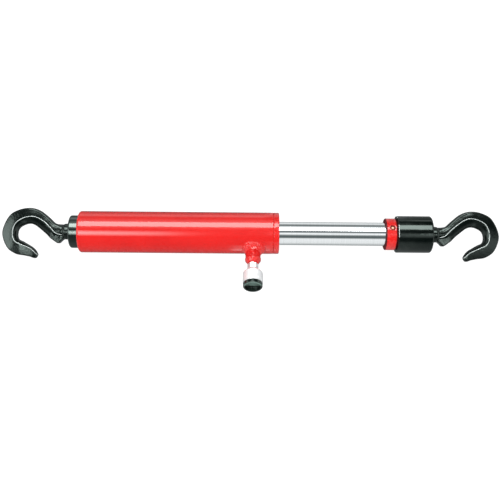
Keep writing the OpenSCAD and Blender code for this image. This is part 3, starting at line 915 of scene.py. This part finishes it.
# ------------------------------------------------------------------ springs
def coil(name, place, r, wire, turns, z0, z1, steps, ring=14):
    n = int(turns * steps)
    closed = 2.1 * wire
    rise = (z1 - z0 - 2 * closed) / (turns - 2)
    verts, faces = [], []
    for k in range(n + 1):
        t = turns * k / n
        z = z0 + closed * t if t < 1 else z1 - closed * (turns - t) if t > turns - 1 else z0 + closed + rise * (t - 1)
        for j in range(ring):
            b = 2 * math.pi * j / ring
            verts.append(place((z + wire * math.sin(b)) * MM, (r + wire * math.cos(b)) * MM, 2 * math.pi * t))
    for k in range(n):
        for j in range(ring):
            l = (j + 1) % ring
            faces.append((k * ring + j, k * ring + l, (k + 1) * ring + l, (k + 1) * ring + j))
    faces += [tuple(range(ring)), tuple(range((n + 1) * ring - 1, n * ring - 1, -1))]
    return new_object(name, verts, faces)


spring = coil("return_spring_wire", axle, 19, 2, 11.5, -214.9, -27.1, 40)
finish_piece(spring, "barrel", "return_spring", SPRING)
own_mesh(spring)
small = coil("check_spring_wire", spout, 2.5, 0.35, 5, 54.4, 59.85, 36, ring=10)
finish_piece(small, "barrel", "check_spring", SPRING)
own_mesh(small)

# ------------------------------------------------------------------ inner pieces keep their CAD meshes
FINISH = {
    "gland_bush": BRONZE, "rod_seal": URETHANE, "backup_ring": PTFE, "rod_wiper": RUBBER, "gland_oring": RUBBER,
    "coupler_body": NICKEL, "coupler_oring": RUBBER, "check_ball": BALL, "piston_seal": URETHANE,
    "piston_wear_ring": RESIN, "piston": STEEL, "piston_oring": RUBBER, "piston_nut": STEEL,
    "rod_hook_nut": STEEL, "rod_hook_pin": OXIDE, "rod_hook_washer": STEEL,
    "base_hook_nut": STEEL, "base_hook_pin": OXIDE, "base_hook_washer": STEEL}
for name, material in FINISH.items():
    o = NODES[name]
    for slot in o.material_slots:
        slot.material = material


# ------------------------------------------------------------------ studio
def studio():
    size = 4.0
    floor = new_object("floor", [(-size, -size, 0), (size, -size, 0), (size, size, 0), (-size, size, 0)], [(0, 1, 2, 3)], smooth=False)
    m = Mat("pale_floor")
    m.set(Roughness=0.9, Specular_IOR_Level=0.1, Emission_Color=(1, 1, 1), Emission_Strength=0.97)
    m.to("Base Color", m.mix(m.ramp(m.noise(3.0, 2.0), 0.3, 0.7), (0.125, 0.125, 0.125), (0.130, 0.130, 0.130)))
    floor.data.materials.append(m.m)
    floor.visible_glossy = False                         # the gloss shows the studio's own gradient instead

    # a plain pale wall all round, which neither lights the part nor shows in its gloss
    n, rings = 64, [(3.9, -0.02), (3.9, 1.6), (3.6, 3.0), (2.6, 4.1), (1.2, 4.6), (0.02, 4.7)]
    verts = [(r * math.cos(2 * math.pi * k / n), r * math.sin(2 * math.pi * k / n), z) for r, z in rings for k in range(n)]
    faces = [(i * n + k, i * n + (k + 1) % n, (i + 1) * n + (k + 1) % n, (i + 1) * n + k) for i in range(len(rings) - 1) for k in range(n)]
    wall = new_object("wall", verts, faces)
    wm = Mat("pale_wall")
    wm.set(Roughness=0.9, Specular_IOR_Level=0.1, Emission_Color=(1, 1, 1), Emission_Strength=0.98)
    wm.to("Base Color", wm.mix(wm.ramp(wm.noise(2.0, 2.0), 0.3, 0.7), (0.11, 0.11, 0.11), (0.12, 0.12, 0.12)))
    wall.data.materials.append(wm.m)
    wall.visible_glossy = wall.visible_diffuse = wall.visible_shadow = wall.visible_transmission = False

    def area(name, at, look, size_x, size_y, radiance, color=(1, 1, 1)):
        data = bpy.data.lights.new(name, "AREA")
        data.shape = "RECTANGLE"
        data.size, data.size_y = size_x, size_y
        data.energy = radiance * math.pi * size_x * size_y
        data.color = color
        o = bpy.data.objects.new(name, data)
        scene.collection.objects.link(o)
        z = (Vector(at) - Vector(look)).normalized()
        x = Vector((1, 0, 0)) - z * z.x
        x.normalize()
        y = z.cross(x)
        rot = Matrix((x, y, z)).transposed().to_4x4()
        rot.translation = Vector(at)
        o.matrix_world = rot
        return o

    c = Vector((0, AY, AZ))

    def direction(elevation):
        e = math.radians(elevation)
        return Vector((0, -math.cos(e), math.sin(e)))

    overhead = area("overhead", c + 1.25 * direction(88.5), c, 1.22, 0.60, 8.6)
    overhead.visible_diffuse = False                     # a strip for the gloss alone
    for name, at, e_, wide, tall, radiance in (("key", 0.0, 65, 2.0, 1.2, 4.6), ("front", 0.15, 5, 1.9, 0.8, 2.7)):
        o = area(name, c + Vector((at, 0, 0)) + 1.7 * direction(e_), c, wide, tall, radiance)
        o.visible_glossy = False                         # soft light, with no hard edge in the paint

    # the rest of the studio is a gradient in elevation: 0 toward the viewer, 90 overhead, 180 behind
    w = bpy.data.worlds.new("studio")
    scene.world = w
    w.use_nodes = True
    t = w.node_tree
    t.nodes.clear()
    out = t.nodes.new("ShaderNodeOutputWorld")
    bg = t.nodes.new("ShaderNodeBackground")
    co = t.nodes.new("ShaderNodeTexCoord")
    sep = t.nodes.new("ShaderNodeSeparateXYZ")
    t.links.new(co.outputs["Generated"], sep.inputs[0])

    def maths(op, a, b=None):
        n = t.nodes.new("ShaderNodeMath")
        n.operation = op
        for i, v in enumerate((a, b)):
            if isinstance(v, (int, float)):
                n.inputs[i].default_value = v
            elif v is not None:
                t.links.new(v, n.inputs[i])
        return n.outputs[0]

    toward = maths("MULTIPLY", sep.outputs["Y"], -1.0)
    e = maths("MULTIPLY", maths("ARCTAN2", sep.outputs["Z"], toward), 180 / math.pi)

    x = sep.outputs["X"]

    def level(v, *stops):
        """A level that runs straight from stop to stop, each (v, level) in order."""
        total = stops[0][1]
        for (v0, l0), (v1, l1) in zip(stops, stops[1:]):
            if l0 == l1:
                continue
            n = t.nodes.new("ShaderNodeMapRange")
            for k, q in (("From Min", v0), ("From Max", v1), ("To Min", 0), ("To Max", l1 - l0)):
                n.inputs[k].default_value = q
            t.links.new(v, n.inputs["Value"])
            total = maths("ADD", n.outputs["Result"], total)
        return total

    def times(a, b):
        return maths("MULTIPLY", a, b)

    # in front of the barrel, the rod and the hooks the room differs: white card, open room, dark cloth
    barrel = level(e, (-180, 0.2), (-120, 0.14), (-95, 0.26), (-60, 0.34), (-47, 0.38), (-33, 0.28), (14, 0.22), (60, 0.22), (66, 0.6), (74, 1.4),
                   (102, 1.8), (110, 1.5), (118, 0.96), (125, 0.60), (132, 0.4), (139, 0.75), (148, 1.6), (158, 1.0), (168, 0.4),
                   (180, 0.3))
    rod_side = level(e, (-180, 0.7), (-150, 0.3), (-110, 0.3), (-92, 0.5), (-71, 0.75), (-55, 0.95), (-41, 0.95), (-17, 1.02), (-7, 0.90), (2, 0.18), (13, 0.14),
                     (24, 0.18), (33, 0.65), (40, 1.12), (46, 1.10), (53, 0.44), (61, 0.19), (68, 0.24), (75, 1.1), (102, 1.2),
                     (112, 1.15), (118, 0.62), (126, 0.20), (134, 0.24), (139, 0.20), (148, 0.6), (156, 0.92), (180, 0.8))
    dark = level(e, (-180, 0.3), (-90, 0.4), (-20, 0.45), (-8, 0.2), (0, 0.03), (60, 0.03), (70, 0.2), (76, 0.7), (102, 0.6),
                 (110, 0.2), (118, 0.03), (130, 0.05), (140, 1.3), (148, 0.8), (155, 0.1), (170, 0.4), (180, 0.3))
    front = level(e, (20, 0), (28, 0.55), (34, 0.95), (40, 1.0), (46, 0.60), (51, 0.15), (55, 0))
    reach = level(x, (-0.30, 0.0), (-0.262, 0.7), (-0.2445, 1.0), (-0.2395, 16.0), (-0.235, 14.0), (-0.22, 9.5), (-0.13, 5.3), (-0.085, 1.3),
                  (-0.05, 0.15), (0.19, 0.0), (0.205, 1.6), (0.30, 1.2), (0.8, 1.4))
    total = times(barrel, level(x, (-0.27, 0), (-0.255, 1), (0.016, 1), (0.034, 0)))
    for part in (times(rod_side, level(x, (0.016, 0), (0.034, 1), (0.19, 1), (0.205, 0))),
                 times(dark, level(x, (-0.27, 1), (-0.255, 0), (0.19, 0), (0.205, 1))),
                 times(front, reach),
                 times(level(e, (-76, 0), (-70, 2.2), (-58, 2.2), (-50, 1.2), (-34, 1.2), (-24, 0)), level(x, (-0.03, 0), (-0.018, 1), (0.020, 1), (0.032, 0))),
                 times(level(e, (20, 0), (32, 1), (56, 1), (66, 0)), level(x, (-0.98, 0.0), (-0.75, 3.8), (-0.46, 5.4), (-0.36, 0))),
                 times(level(e, (37, 0), (42, 5.5), (50, 5.5), (54, 0)), level(x, (0.236, 0), (0.248, 1), (0.31, 1), (0.34, 0))),
                 level(maths("ABSOLUTE", x), (0.62, 0), (0.95, 0.7))):
        total = maths("ADD", total, part)
    hue = t.nodes.new("ShaderNodeCombineColor")
    t.links.new(maths("MAXIMUM", maths("SUBTRACT", total, 0.025), 0.0), hue.inputs[0])
    t.links.new(total, hue.inputs[1])
    t.links.new(total, hue.inputs[2])
    t.links.new(hue.outputs[0], bg.inputs["Color"])
    bg.inputs["Strength"].default_value = 1.0
    t.links.new(bg.outputs[0], out.inputs[0])


studio()
scene.view_settings.view_transform = "Standard"
scene.view_settings.look = "None"
scene.view_settings.exposure = 0
scene.view_settings.gamma = 1
